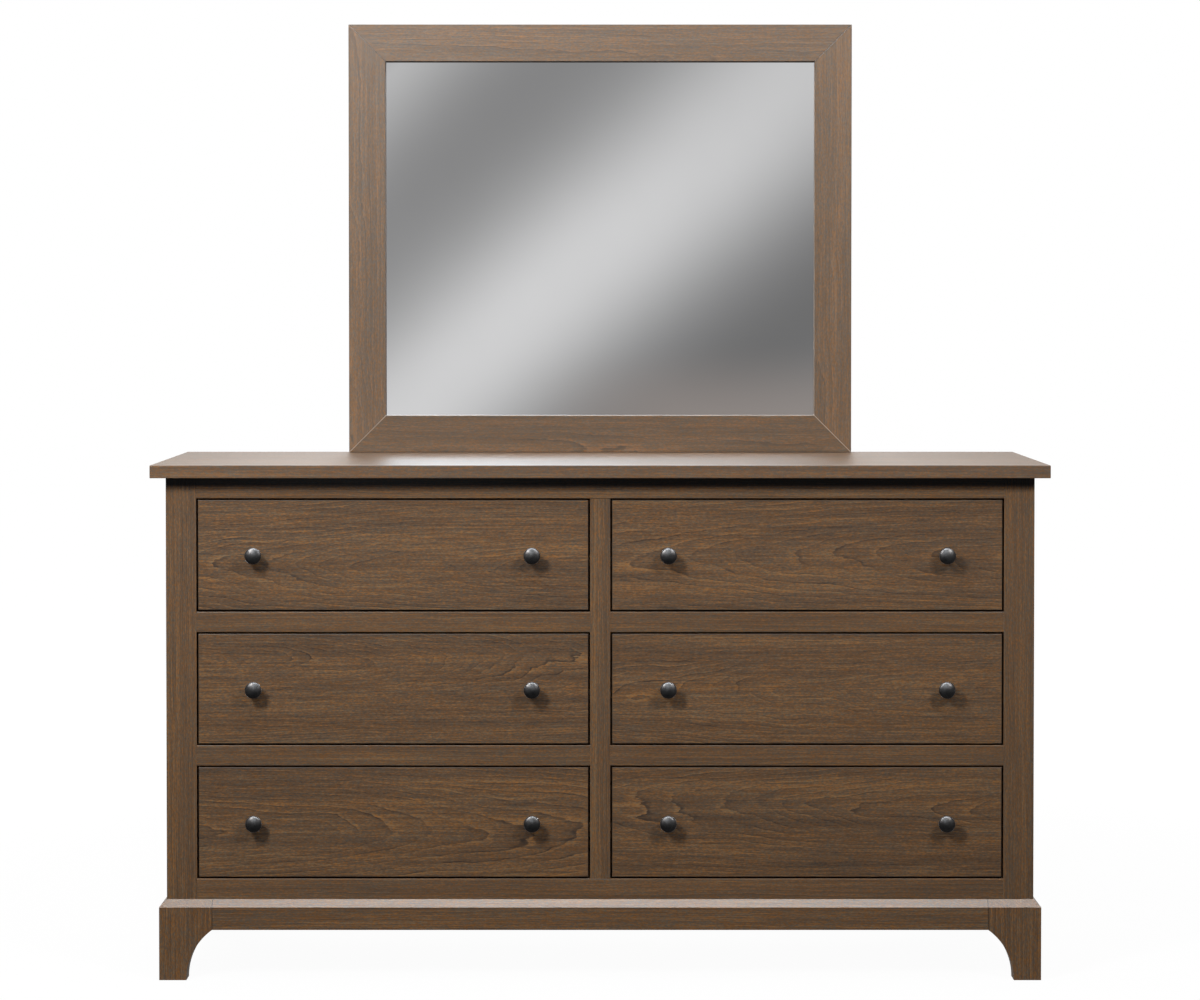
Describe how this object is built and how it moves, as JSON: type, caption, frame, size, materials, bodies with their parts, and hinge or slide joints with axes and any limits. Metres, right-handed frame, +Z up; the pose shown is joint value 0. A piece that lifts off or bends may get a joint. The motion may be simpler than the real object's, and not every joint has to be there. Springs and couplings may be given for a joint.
{
  "type": "dresser with mirror",
  "caption": "Wide wooden dresser with inset drawers, round dark knobs, a bracket-foot base and a mitre-framed mirror standing on its top.",
  "frame": {"origin": "on the floor, under the middle of the bounding box from the knobs to the mirror supports", "axes": "+Z up, the drawers face -Y, +X to the right as seen from the front"},
  "size_m": [1.6, 0.505, 1.7452],
  "materials": {
    "top_wood": "brown-stained hardwood, satin lacquer, grain along the width",
    "case_wood": "brown-stained hardwood, satin lacquer",
    "drawer_front_wood": "brown-stained hardwood with cathedral figure, satin lacquer",
    "base_wood": "brown-stained hardwood, satin lacquer",
    "mirror_frame_wood": "brown-stained hardwood, satin lacquer",
    "inner_wood": "plain unstained hardwood, clear sealed",
    "drawer_box_wood": "pale hardwood, clear sealed",
    "back_wood": "plywood and plain boards, lightly stained",
    "knob_metal": "dark bronze, satin",
    "mirror_glass": "silvered flat glass"
  },
  "bodies": {
    "case_and_mirror": {"top_panel": "top_wood", "left_side_panel": "case_wood", "right_side_panel": "case_wood", "centre_partition": "inner_wood", "left_stile": "case_wood", "right_stile": "case_wood", "centre_stile": "case_wood", "top_rail": "case_wood", "bottom_rail": "case_wood", "lower_divider_rail": "case_wood", "upper_divider_rail": "case_wood", "case_floor": "inner_wood", "back_panel": "back_wood", "front_apron": "base_wood", "front_left_foot": "base_wood", "front_right_foot": "base_wood", "left_side_front_foot": "base_wood", "right_side_front_foot": "base_wood", "left_side_apron": "base_wood", "right_side_apron": "base_wood", "left_rear_foot": "base_wood", "right_rear_foot": "base_wood", "mirror_bottom_rail": "mirror_frame_wood", "mirror_top_rail": "mirror_frame_wood", "mirror_left_stile": "mirror_frame_wood", "mirror_right_stile": "mirror_frame_wood", "mirror_glass": "mirror_glass", "mirror_backing": "back_wood", "left_mirror_support": "back_wood", "right_mirror_support": "back_wood"},
    "lower_left_drawer": {"lower_left_drawer_front": "drawer_front_wood", "lower_left_drawer_box": "drawer_box_wood", "lower_left_drawer_floor": "drawer_box_wood", "lower_left_drawer_left_knob": "knob_metal", "lower_left_drawer_right_knob": "knob_metal"},
    "lower_right_drawer": {"lower_right_drawer_front": "drawer_front_wood", "lower_right_drawer_box": "drawer_box_wood", "lower_right_drawer_floor": "drawer_box_wood", "lower_right_drawer_left_knob": "knob_metal", "lower_right_drawer_right_knob": "knob_metal"},
    "middle_left_drawer": {"middle_left_drawer_front": "drawer_front_wood", "middle_left_drawer_box": "drawer_box_wood", "middle_left_drawer_floor": "drawer_box_wood", "middle_left_drawer_left_knob": "knob_metal", "middle_left_drawer_right_knob": "knob_metal"},
    "middle_right_drawer": {"middle_right_drawer_front": "drawer_front_wood", "middle_right_drawer_box": "drawer_box_wood", "middle_right_drawer_floor": "drawer_box_wood", "middle_right_drawer_left_knob": "knob_metal", "middle_right_drawer_right_knob": "knob_metal"},
    "upper_left_drawer": {"upper_left_drawer_front": "drawer_front_wood", "upper_left_drawer_box": "drawer_box_wood", "upper_left_drawer_floor": "drawer_box_wood", "upper_left_drawer_left_knob": "knob_metal", "upper_left_drawer_right_knob": "knob_metal"},
    "upper_right_drawer": {"upper_right_drawer_front": "drawer_front_wood", "upper_right_drawer_box": "drawer_box_wood", "upper_right_drawer_floor": "drawer_box_wood", "upper_right_drawer_left_knob": "knob_metal", "upper_right_drawer_right_knob": "knob_metal"}
  },
  "joints": [
    {"name": "lower_left_drawer_slide", "type": "slide", "parent": "case_and_mirror", "child": "lower_left_drawer", "axis": [0, -1, 0], "range_m": [0, 0.3]},
    {"name": "lower_right_drawer_slide", "type": "slide", "parent": "case_and_mirror", "child": "lower_right_drawer", "axis": [0, -1, 0], "range_m": [0, 0.3]},
    {"name": "middle_left_drawer_slide", "type": "slide", "parent": "case_and_mirror", "child": "middle_left_drawer", "axis": [0, -1, 0], "range_m": [0, 0.3]},
    {"name": "middle_right_drawer_slide", "type": "slide", "parent": "case_and_mirror", "child": "middle_right_drawer", "axis": [0, -1, 0], "range_m": [0, 0.3]},
    {"name": "upper_left_drawer_slide", "type": "slide", "parent": "case_and_mirror", "child": "upper_left_drawer", "axis": [0, -1, 0], "range_m": [0, 0.3]},
    {"name": "upper_right_drawer_slide", "type": "slide", "parent": "case_and_mirror", "child": "upper_right_drawer", "axis": [0, -1, 0], "range_m": [0, 0.3]}
  ]
}
